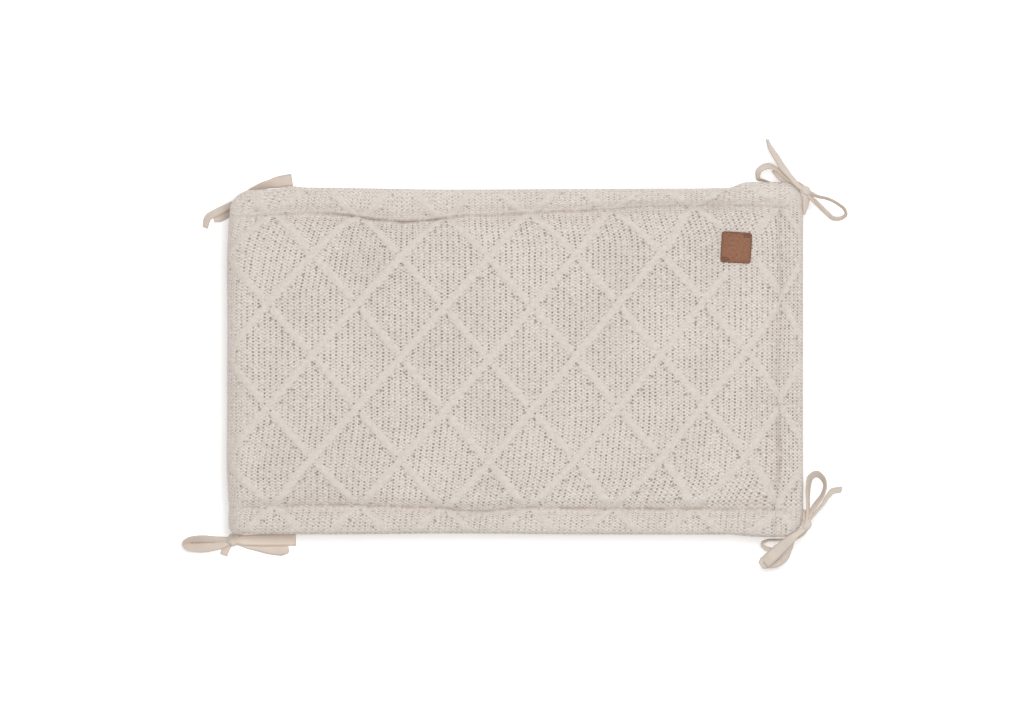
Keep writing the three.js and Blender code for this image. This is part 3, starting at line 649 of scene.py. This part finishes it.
def top_layer(v, side):
    """Points of one face of the top layer and of the fold that it goes round."""
    rim = END_ROW + END_FLANGE_KNIT * np.array(RIM_SHARES)
    first = math.floor((rim[-1] - 0.6 - LATTICE_X) / U_STEP)
    last = math.ceil((FIRST_U - LATTICE_X) / U_STEP)
    plain_u = np.concatenate([rim, LATTICE_X + U_STEP * np.arange(first, last - 1, -1)])[:, None]
    v = v[None, :]
    u = plain_u + sway(plain_u, v)
    level = reach(u, 0.0, np.inf, -np.inf)
    border = [along(t, level) for t in (TOP_EDGE, BOTTOM_EDGE, TOP_STITCH, BOTTOM_STITCH, LATTICE_DRIFT)]
    top, bottom, top_stitch, bottom_stitch, _ = border
    out = np.clip(CORNER - (END_X - level), 0, CORNER)
    y = rows_across(v, border, CORNER - np.sqrt(CORNER ** 2 - out ** 2))
    at = reach(u, y, top_stitch, bottom_stitch)
    from_side = np.minimum((top - y) / (top - top_stitch), (y - bottom) / (bottom_stitch - bottom))
    end = (END_X - at) / (END_X - along(END_STITCH, y))
    units = rim_units(end, np.maximum(from_side, 0))
    share = np.maximum(fullness(units), 0)
    half = BACK * np.minimum(share / FLANGE_FULLNESS, 1)
    mid_x, mid_z, face_x, face_z = place_on_top(at)
    looks = {"cabled": 0 * y, "open": 1 + 0 * y, "seam": 0 * y}
    if side > 0:
        seat = np.hypot(mid_x - PATCH_X, y - PATCH_Y)
        seat = ease((seat - PATCH_SEAT_INNER) / (PATCH_SEAT_OUTER - PATCH_SEAT_INNER))
        looks = top_looks(at, y, units, seat, border)
        half = FRONT * (share + crown(units, y) + shallow_groove(at, units, end, from_side))
        half = with_relief(half, (plain_u, u, v), at, y, units, seat, looks)
    half = np.maximum(half, RIM)
    x = draw_in(mid_x + side * face_x * half, y, ease(1 - (level - LEFT_FOLD_X) / DRAWN_IN_FADES))
    points = np.stack([x, y, mid_z + side * face_z * half], axis=-1)
    columns, courses = (plain_u - LATTICE_X) / COLUMN, (v - LATTICE_Y) / COURSE
    knit = np.stack([columns + 0 * y, courses + 0 * y], axis=-1)
    return points, knit, np.stack(lattice_place(u, v + 0 * y), axis=-1), looks


LEFT_FOLD_DEGREES, RIGHT_FOLD_DEGREES = (124, 136, 147, 158, 169, 180), range(12, 181, 12)
MIDDLE_STATIONS, BOTTOM_STATIONS = 20, 16
TIP_LENGTH, TIP_STATIONS, TIP_POWER = 40, 15, 1.7
NO_END = 9e3


def hidden_stations():
    """Columns: x, z, face x, face z, end distance, drawn-in share, whether it is on a fold."""
    rows = []
    for degrees in LEFT_FOLD_DEGREES:
        spot = place_on_fold(LEFT_FOLD_X, LEFT_FOLD_Z, LEFT_FOLD_RADIUS, -1, math.radians(degrees))
        rows.append((*spot, NO_END, 1, 1))
    for x in np.linspace(LEFT_FOLD_X, RIGHT_FOLD_X, MIDDLE_STATIONS)[1:]:
        near = float(ease(1 - (x - LEFT_FOLD_X) / DRAWN_IN_FADES))
        rows.append((x, MIDDLE_Z, 0, -1, NO_END, near, 0))
    for degrees in RIGHT_FOLD_DEGREES:
        spot = place_on_fold(RIGHT_FOLD_X, RIGHT_FOLD_Z, RIGHT_FOLD_RADIUS, 1, math.radians(degrees))
        rows.append((*spot, NO_END, 0, 1))
    run = LOWER_END_X + TIP_LENGTH - RIGHT_FOLD_X
    inner = [RIGHT_FOLD_X + run * t for t in np.linspace(0, 1, BOTTOM_STATIONS)[1:]]
    tip = [LOWER_END_X + TIP_LENGTH * t ** TIP_POWER for t in np.linspace(1, 0, TIP_STATIONS)[1:]]
    for x in inner + tip:
        rows.append((x, BOTTOM_Z, 0, 1, x - LOWER_END_X, 0, 0))
    return np.array(rows, float).T[:, :, None]


def hidden_layers(side, start):
    """Points of one face of the two lower layers and the folds that join them."""
    mid_x, mid_z, face_x, face_z, end, fold, bent = hidden_stations()
    shares = [(1 - t) ** 2 for t in np.linspace(0, 1, 9)[:-1]]
    rim = LOWER_HALF_WIDTH - LOWER_FLANGE * 1.4 * (1 - np.array(shares))
    field = np.linspace(-rim[-1] + 5, rim[-1] - 5, HIDDEN_ROWS - 2 * len(rim))
    nominal = np.concatenate([-rim, field, rim[::-1]])[None, :]
    out = np.clip(CORNER - end, 0, CORNER)
    inset = CORNER - np.sqrt(CORNER ** 2 - out ** 2)
    y = nominal * (LOWER_HALF_WIDTH - inset) / LOWER_HALF_WIDTH
    units = rim_units(end / LOWER_FLANGE + 0 * y, (LOWER_HALF_WIDTH - np.abs(y)) / LOWER_FLANGE)
    share = np.maximum(fullness(units), 0)
    half = BACK * np.minimum(share / FLANGE_FULLNESS, 1)
    if side > 0:
        half = FRONT * (share + crown(units, y))
        half = np.where(bent > 0, np.minimum(half, FRONT), half)
    half = np.maximum(half, RIM)
    x = draw_in(mid_x + side * face_x * half, y, fold)
    points = np.stack([x, y, mid_z + side * face_z * half], axis=-1)
    step = np.sqrt(np.diff(mid_x[:, 0]) ** 2 + np.diff(mid_z[:, 0]) ** 2)
    length = start - np.concatenate([[0], np.cumsum(step)])
    knit = np.stack([length[:, None] / COLUMN + 0 * y, y / COURSE], axis=-1)
    return points, knit


class Skin:
    """Vertices, knit places and looks of the pad, gathered sheet by sheet."""

    def __init__(self):
        self.points, self.knit, self.lattice, self.faces = [], [], [], []
        self.looks = {"cabled": [], "open": [], "seam": []}
        self.count = 0

    def add(self, points, knit, lattice=None, looks=None):
        down, wide = points.shape[:2]
        ids = np.arange(down * wide).reshape(down, wide) + self.count
        self.count += down * wide
        self.points.append(points.reshape(-1, 3))
        self.knit.append(knit.reshape(-1, 2))
        self.lattice.append(np.full((down * wide, 2), 0.5) if lattice is None else lattice.reshape(-1, 2))
        for name, start in (("cabled", 0.0), ("open", 1.0), ("seam", 0.0)):
            values = np.full(down * wide, start) if looks is None else looks[name].ravel()
            self.looks[name].append(values)
        return ids

    def sheet(self, ids, flip):
        a, b, c, d = ids[:-1, :-1], ids[:-1, 1:], ids[1:, 1:], ids[1:, :-1]
        quads = np.stack([a, d, c, b] if flip else [a, b, c, d], axis=-1)
        self.faces += quads.reshape(-1, 4).tolist()

    def zip(self, first, second):
        """Faces between two rows of points with different counts, matched by their y."""
        y = np.concatenate(self.points)[:, 1]
        i = j = 0
        while i < len(first) - 1 or j < len(second) - 1:
            next_first = y[first[i + 1]] if i < len(first) - 1 else math.inf
            next_second = y[second[j + 1]] if j < len(second) - 1 else math.inf
            if next_first <= next_second:
                self.faces.append((int(first[i]), int(first[i + 1]), int(second[j])))
                i += 1
            else:
                self.faces.append((int(first[i]), int(second[j + 1]), int(second[j])))
                j += 1

    def rims(self, front, back):
        for i in range(len(front) - 1):
            near = (back[i][0], front[i][0], front[i + 1][0], back[i + 1][0])
            far = (front[i][-1], back[i][-1], back[i + 1][-1], front[i + 1][-1])
            self.faces += [tuple(int(k) for k in near), tuple(int(k) for k in far)]


def make_pad(material):
    skin = Skin()
    front_top = skin.add(*top_layer(knit_rows(), 1))
    back_top = skin.add(*top_layer(knit_rows(BACK_ROWS), -1))
    length = FIRST_U - LATTICE_X - 3
    front_low = skin.add(*hidden_layers(1, length))
    back_low = skin.add(*hidden_layers(-1, length))
    for ids, flip in ((front_top, False), (front_low, False), (back_top, True), (back_low, True)):
        skin.sheet(ids, flip)
    skin.zip(front_top[-1], front_low[0])
    skin.zip(back_low[0], back_top[-1])
    skin.rims(list(front_top) + list(front_low), list(back_top) + list(back_low))
    skin.zip(back_top[0], front_top[0])
    skin.zip(front_low[-1], back_low[-1])
    mesh = bpy.data.meshes.new("knitted_pad")
    mesh.from_pydata((np.concatenate(skin.points) * MM).tolist(), [], skin.faces)
    mesh.update()
    set_uv(mesh, "knit", np.concatenate(skin.knit))
    set_uv(mesh, "lattice", np.concatenate(skin.lattice))
    for name, values in skin.looks.items():
        set_attribute(mesh, name, np.concatenate(values))
    return make_piece("knitted_pad", mesh, material, ["bumper_pad"])


def set_uv(mesh, name, values):
    layer = mesh.uv_layers.new(name=name)
    corner = np.empty(len(mesh.loops), int)
    mesh.loops.foreach_get("vertex_index", corner)
    layer.data.foreach_set("uv", values[corner].astype(np.float32).ravel())


def set_attribute(mesh, name, values):
    layer = mesh.attributes.new(name, "FLOAT", "POINT")
    layer.data.foreach_set("value", values.astype(np.float32))


def make_piece(name, mesh, material, replaced):
    mesh.materials.append(material)
    mesh.polygons.foreach_set("use_smooth", [True] * len(mesh.polygons))
    mesh.update()
    piece = bpy.data.objects.new(name, mesh)
    bpy.context.collection.objects.link(piece)
    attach(piece, "root")
    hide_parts(*replaced)
    return piece


# Tape ties

TAPE_WIDTH = 12.5
TAPE_THICK = 1.2
# Beside the front edge, where the pad's shadow falls on the tape, the tape gets painted light: its low
# stretch from x, and how it fades across y
PAINTED_LIGHT_FROM_X, PAINTED_LIGHT_TO_Y, PAINTED_LIGHT_FULL_Y, PAINTED_LIGHT_FADES = -290.0, -194.0, -165.0, 14.0

# Each row of a strand: x, y, z, width, bank in degrees (0 lies flat, 90 is on edge)
TIES = {
    "tie_top_right": {
        "knot": {"at": (294.9, 173.4, 51.5), "size": (6.8, 4.5, 4.2), "turn": -42},
        "tails": [
            [(294.5, 173.6, 52.5, 5, 20), (287.5, 178.8, 53, 5.5, 35), (279.8, 187.6, 50, 7, 45),
             (272.2, 196.5, 44, 9.5, 46), (265.5, 207.2, 37, 10, 50), (259.8, 216.5, 31, 9, 56),
             (256.6, 225.2, 27, 5, 62)],
            [(295, 173.5, 48, 5, 20), (287.5, 179.4, 41, 6, 60), (278, 182.4, 36, 8, 60),
             (270, 186, 33, 9, 58), (262.6, 194.4, 32, 9, 58)],
            [(296, 171, 51, 6, -15), (295.8, 164.5, 50, 9, -35), (295.2, 156, 47.5, 9, -55),
             (294.6, 149.5, 45, 6, -75)],
        ],
        "loops": [
            [(294.5, 174, 52.5, 5, 20), (285.5, 180.3, 50.5, 6, 62), (275.6, 187, 47.5, 9, 70),
             (265.5, 195.4, 44.5, 11, 68), (255.3, 198.2, 42, 12, 58), (247.2, 193.1, 40, 12, 62),
             (246.9, 185.6, 38, 11, 70), (253.5, 182.9, 35.5, 9, 76), (263, 179.2, 33, 8, 78),
             (274, 177.8, 33, 8, 76), (283.5, 181, 38, 7, 70), (290.5, 177.6, 45, 6, 50),
             (295.2, 173, 50, 5, 30)],
            [(295.2, 172.8, 52, 5, 20), (299.8, 170.2, 52, 7, 60), (306.5, 167.4, 50.5, 10, 76),
             (317.3, 165, 47.5, 12, 79), (326.6, 160.5, 44, 12, 79), (334.1, 154.3, 41, 12, 78),
             (335.4, 149.2, 39.5, 12, 76), (331.6, 145.7, 38.5, 12, 74), (323.3, 145.3, 38.5, 12, 70),
             (316.2, 151, 41, 12, 68), (308.3, 158.8, 45.5, 11, 66), (301.2, 166, 49.5, 7, 55),
             (295.8, 172.2, 51, 5, 20)],
        ],
    },
    "tie_bottom_right": {
        "knot": {"at": (295.7, -166.8, 51.5), "size": (6.8, 4.4, 4.2), "turn": 46},
        "tails": [
            [(295.8, -166.4, 52, 5, 20), (299.4, -161, 51.5, 5, 60), (305.5, -153.7, 48, 7, 68),
             (312.2, -145.6, 44, 8, 68), (317.3, -137.5, 39, 9, 64), (322.5, -131.8, 34, 10, 55),
             (331.4, -130.2, 31, 9, 50)],
            [(296, -168.5, 48, 5, 20), (289, -176.6, 42, 6, 66), (278, -180, 36, 7, 74),
             (266.5, -180.6, 31, 8, 76), (256, -181.2, 28, 9, 76), (250.8, -184.4, 27, 9, 72),
             (252.4, -188.6, 26, 9, 66), (259, -191.5, 25, 10, 58)],
            [(296.2, -165.8, 51, 6, 15), (295.6, -158.5, 50, 9, 38), (295, -151, 47, 8, 62)],
        ],
        "loops": [
            [(296, -165.8, 53, 5, 20), (297.6, -157, 52, 6, 60), (297.6, -143, 48, 9, 68),
             (297.5, -128.1, 45, 12, 68), (299.9, -117.6, 42, 12, 60), (306, -114.3, 40, 12, 56),
             (312.2, -118.5, 39, 12, 66), (314.6, -125, 39.5, 12, 74), (312.2, -134.5, 42, 12, 72),
             (305.8, -143.8, 46, 10, 62), (300, -152.6, 50, 7, 55), (296.8, -163, 52, 5, 30)],
            [(296, -168.4, 53, 5, 15), (288.2, -173.4, 52.5, 6, 14), (276.5, -183, 48, 10.5, 12),
             (264.5, -194, 41, 12.5, 10), (255.4, -202.3, 34.5, 12.5, 8), (253.3, -204, 31.5, 12.5, 4),
             (255.4, -203.8, 28.5, 12.5, 4), (264.5, -203, 27.5, 12.5, 14), (272, -198.6, 30, 12, 30),
             (277, -190.5, 35, 11, 44), (281.2, -182, 40.5, 9, 52), (288.6, -175.6, 46, 7, 46),
             (296, -169.6, 50, 5, 20)],
        ],
    },
    "tie_bottom_left": {
        "knot": {"at": (-286, -181, 6.2), "size": (8, 6.6, 5.4), "turn": 10},
        "tails": [
            [(-286, -181, 7, 7, 0), (-270.9, -181.2, 8, 11, -6), (-247.3, -180.8, 6.6, 12.5, -10),
             (-222.2, -180.8, 4, 12.5, -6)],
            [(-286, -182, 4.5, 6, 20), (-292.4, -187.6, 3.6, 9, 24), (-295.6, -196.4, 2.4, 8, 14)],
            [(-286, -182, 4.6, 6, 14), (-266, -186.4, 3.2, 10, 8), (-248, -189.6, 2.6, 12.5, 6),
             (-237, -190.8, 2.2, 12.5, 4), (-231.8, -190.2, 2, 10, 3), (-229.4, -189.4, 1.9, 5, 2)],
            [(-285, -180, 6, 6, 30), (-277, -173.6, 7, 9, 55), (-269.2, -167.2, 8, 10, 62)],
        ],
        "loops": [
            [(-286, -181.5, 7, 6, -10), (-302, -181, 6.8, 8, -36), (-318, -180.2, 7.2, 11, -48),
             (-329.5, -181.2, 7.4, 12, -58), (-335.2, -184.8, 7.4, 12, -66), (-330.5, -188, 7, 12, -46),
             (-317, -188.6, 6.2, 12, -32), (-302, -186.8, 6, 9.5, -26), (-287, -182, 6.4, 6, -10)],
        ],
    },
    "tie_top_left": {
        "knot": {"at": (-278, 164.2, 6), "size": (6, 4.8, 5), "turn": 35},
        "tails": [
            [(-278, 164, 6, 6, 30), (-290, 158, 5.4, 9, 42), (-303, 151.2, 4.9, 10.5, 44),
             (-311.6, 146, 4.3, 9.5, 42), (-314.6, 135.8, 2.6, 6.5, 30)],
            [(-278, 165, 6, 6, 60), (-266, 174.4, 6.6, 9, 66), (-252, 179.2, 6.8, 11.5, 46),
             (-238, 182.4, 6, 12.5, 16), (-226, 184.4, 5.2, 12.5, 6)],
            [(-277.5, 164, 6.4, 6, 40), (-271.8, 161.4, 7.6, 9, 70)],
            [(-278, 163, 4.6, 5, 20), (-288, 152.6, 3, 8, 8), (-299, 145.6, 1.9, 8, 0),
             (-305.5, 144.4, 1.8, 7, 0)],
        ],
        "loops": [],
    },
}


def smooth_path(rows, steps):
    """Points, widths and banks along a centripetal Catmull-Rom curve through the rows."""
    points = [Vector(r[:3]) for r in rows]
    ends = [points[0] * 2 - points[1]] + points + [points[-1] * 2 - points[-2]]
    made = []
    for k in range(len(points) - 1):
        p0, p1, p2, p3 = ends[k:k + 4]
        gaps = [max((b - a).length ** 0.5, 1e-4) for a, b in ((p0, p1), (p1, p2), (p2, p3))]
        t1 = (p1 - p0) / gaps[0] - (p2 - p0) / (gaps[0] + gaps[1]) + (p2 - p1) / gaps[1]
        t2 = (p2 - p1) / gaps[1] - (p3 - p1) / (gaps[1] + gaps[2]) + (p3 - p2) / gaps[2]
        t1, t2 = t1 * gaps[1], t2 * gaps[1]
        count = steps + (1 if k == len(points) - 2 else 0)
        for i in range(count):
            t = i / steps
            place = (p1 * (2 * t ** 3 - 3 * t ** 2 + 1) + t1 * (t ** 3 - 2 * t ** 2 + t)
                     + p2 * (3 * t ** 2 - 2 * t ** 3) + t2 * (t ** 3 - t ** 2))
            share = float(ease(t))
            wide = rows[k][3] + (rows[k + 1][3] - rows[k][3]) * share
            bank = rows[k][4] + (rows[k + 1][4] - rows[k][4]) * share
            made.append((place, wide, math.radians(bank)))
    return made


# Upper half of the tape's section, in half widths and half thicknesses; the lower half mirrors it
UPPER_SECTION = [(-1, 0), (-0.94, 0.8), (-0.6, 1), (0, 1), (0.6, 1), (0.94, 0.8)]
TAPE_STEPS, TAPE_CUP = 7, 1.6


def sweep_tape(rows, points, faces, weave):
    """Adds one stretch of tape: a thin section with round edges and a slight cup, swept along its rows."""
    section = UPPER_SECTION + [(-a, -b) for a, b in UPPER_SECTION]
    path = smooth_path(rows, TAPE_STEPS)
    start = len(points)
    walked = 0.0
    last_side = Vector((0, 0, 0))
    for i, (place, wide, bank) in enumerate(path):
        before = path[max(i - 1, 0)][0]
        after = path[min(i + 1, len(path) - 1)][0]
        ahead = (after - before).normalized()
        walked += (place - before).length
        level = Vector((-ahead.y, ahead.x, 0)).normalized()
        side = Matrix.Rotation(bank, 3, ahead) @ level
        if side.dot(last_side) < 0:
            side.negate()
        last_side = side
        out = side.cross(ahead).normalized()
        gathered = 1 - wide / TAPE_WIDTH
        for a, b in section:
            cup = gathered * TAPE_CUP * a * a
            spot = place + side * (a * wide / 2) + out * (b * TAPE_THICK / 2 + cup)
            points.append(spot)
            weave.append((a * TAPE_WIDTH / 2, walked))
    count = len(section)
    for i in range(len(path) - 1):
        for j in range(count):
            a, b = start + i * count + j, start + i * count + (j + 1) % count
            faces.append((a, b, b + count, a + count))
    faces.append(tuple(range(start + count - 1, start - 1, -1)))
    last = start + (len(path) - 1) * count
    faces.append(tuple(range(last, last + count)))
    return walked


def make_tie(name, tie, material):
    points, faces, weave = [], [], []
    length = 0.0
    for rows in tie["tails"] + tie["loops"]:
        length += sweep_tape(rows, points, faces, weave)
    length += add_knot(tie["knot"], points, faces, weave)
    mesh = bpy.data.meshes.new(name + "_tape")
    mesh.from_pydata([tuple(p * MM) for p in points], [], faces)
    mesh.update()
    set_uv(mesh, "weave", np.array(weave))
    x, y, _ = np.array(points).T
    # Painted light on the tape in the pad's shadow, beside the front edge
    beside = ease((x - PAINTED_LIGHT_FROM_X) / PAINTED_LIGHT_FADES) * ease((y - PAINTED_LIGHT_TO_Y) / PAINTED_LIGHT_FADES)
    set_attribute(mesh, "painted_light", beside * (y < PAINTED_LIGHT_FULL_Y) * (x < 0))
    piece = make_piece(name + "_tape", mesh, material, [name])


KNOT_AROUND, KNOT_RINGS = 28, 14
BAND_SLANT, BAND_WIDTH, BAND_RISE = 0.25, 0.30, 0.16
PLEATS, PLEAT_DEPTH = 5, 0.09


def add_knot(knot, points, faces, weave):
    """The lump of the knot: a rounded body with a band of tape wound over it."""
    around, rings = KNOT_AROUND, KNOT_RINGS
    centre = Vector(knot["at"])
    turn = Matrix.Rotation(math.radians(knot["turn"]), 3, "Z")
    start = len(points)
    for i in range(rings + 1):
        polar = math.pi * i / rings
        for j in range(around):
            azimuth = math.tau * j / around
            wide = math.sin(polar)
            spot = Vector((math.cos(polar), wide * math.cos(azimuth), wide * math.sin(azimuth)))
            band = math.exp(-(((spot.x + BAND_SLANT * math.sin(azimuth)) / BAND_WIDTH) ** 2))
            pleat = PLEAT_DEPTH * math.cos(PLEATS * azimuth + 4 * spot.x) * (1 - 0.7 * band)
            size = 0.86 + BAND_RISE * band + pleat
            local = Vector([s * size * r for s, r in zip(spot, knot["size"])])
            points.append(centre + turn @ local)
            weave.append((azimuth * 2, polar * 6))
    for i in range(rings):
        for j in range(around):
            a, b = start + i * around + j, start + i * around + (j + 1) % around
            faces.append((a, a + around, b + around, b))
    return 2.0 * math.pi * knot["size"][1]


# Leather patch

STITCH_LONG, STITCH_WIDE, THREAD = 3.1, 1.3, 0.38
STITCH_IN_X, STITCH_IN_Y, STITCH_RISE = 5.2, 3.6, 0.1
# The stitches' thread takes most of the patch's dark edge colour
THREAD_AROUND, THREAD_SIDES, THREAD_DARKENING = 20, 6, 0.85
PATCH_GAP = 0.3
WELL_INSIDE = 9


def add_stitch(points, edge, faces, x, y):
    """A short loop of thread that holds one corner of the patch down."""
    around, sides = THREAD_AROUND, THREAD_SIDES
    start = len(points)
    for i in range(around):
        turn = math.tau * i / around
        for j in range(sides):
            roll = math.tau * j / sides
            reach_out = THREAD * math.cos(roll)
            points.append(Vector((x + (STITCH_LONG + reach_out) * math.cos(turn),
                                  y + (STITCH_WIDE + reach_out) * math.sin(turn),
                                  PATCH_THICK + STITCH_RISE + THREAD * math.sin(roll))))
            edge.append(THREAD_DARKENING)
    for i in range(around):
        for j in range(sides):
            a, b = start + i * sides + j, start + i * sides + (j + 1) % sides
            c, d = start + (i + 1) % around * sides + (j + 1) % sides, start + (i + 1) % around * sides + j
            faces.append((a, d, c, b))


def make_patch(material):
    """A rounded square with a domed top, rounded edges and a faint pressed border."""
    half_w, half_h = PATCH_WIDTH / 2, PATCH_HEIGHT / 2
    turn = Matrix.Rotation(math.radians(PATCH_TURN), 3, "Z")
    base = TOP_Z + FRONT * (FLANGE_FULLNESS + float(crown(WELL_INSIDE, PATCH_Y - half_h))) + PATCH_GAP
    outline = []
    for k, (sx, sy) in enumerate([(1, 1), (-1, 1), (-1, -1), (1, -1)]):
        for step in range(7):
            angle = math.pi / 2 * (k + step / 6)
            outline.append((sx * (half_w - PATCH_CORNER) + PATCH_CORNER * math.cos(angle),
                            sy * (half_h - PATCH_CORNER) + PATCH_CORNER * math.sin(angle)))
    count = len(outline)
    # Share of the way out from the middle, height as a share of the thickness, and darkening towards the edge
    rings = [(0.985, 0.0, 1.0), (1.0, 0.18, 1.0), (1.0, 0.72, 1.0), (0.985, 0.93, 0.9), (0.955, 1.0, 0.5),
             (0.915, 0.99, 0.15), (0.895, 0.93, 0.55), (0.875, 0.98, 0.1), (0.6, 1.03, 0.0), (0.3, 1.06, 0.0)]
    points, edge = [], []
    for share, height, darkened in rings:
        for px, py in outline:
            points.append(Vector((px * share, py * share, height * PATCH_THICK)))
            edge.append(darkened)
    faces = []
    for i in range(len(rings) - 1):
        for j in range(count):
            a, b = i * count + j, i * count + (j + 1) % count
            faces.append((a, b, b + count, a + count))
    faces.append(tuple(range(count - 1, -1, -1)))
    last = (len(rings) - 1) * count
    faces.append(tuple(range(last, last + count)))
    for side in (1, -1):
        add_stitch(points, edge, faces, side * (half_w - STITCH_IN_X), side * (half_h - STITCH_IN_Y))
    mesh = bpy.data.meshes.new("patch")
    place = Vector((PATCH_X, PATCH_Y, base))
    mesh.from_pydata([tuple((place + turn @ p) * MM) for p in points], [], faces)
    mesh.update()
    set_attribute(mesh, "edge", np.array(edge))
    make_piece("patch", mesh, material, ["leather_patch"])


make_camera()
make_studio()
pad = make_pad(knit_material())
TAPE = tape_material()
for tie_name, tie_shape in TIES.items():
    make_tie(tie_name, tie_shape, TAPE)
make_patch(leather_material())
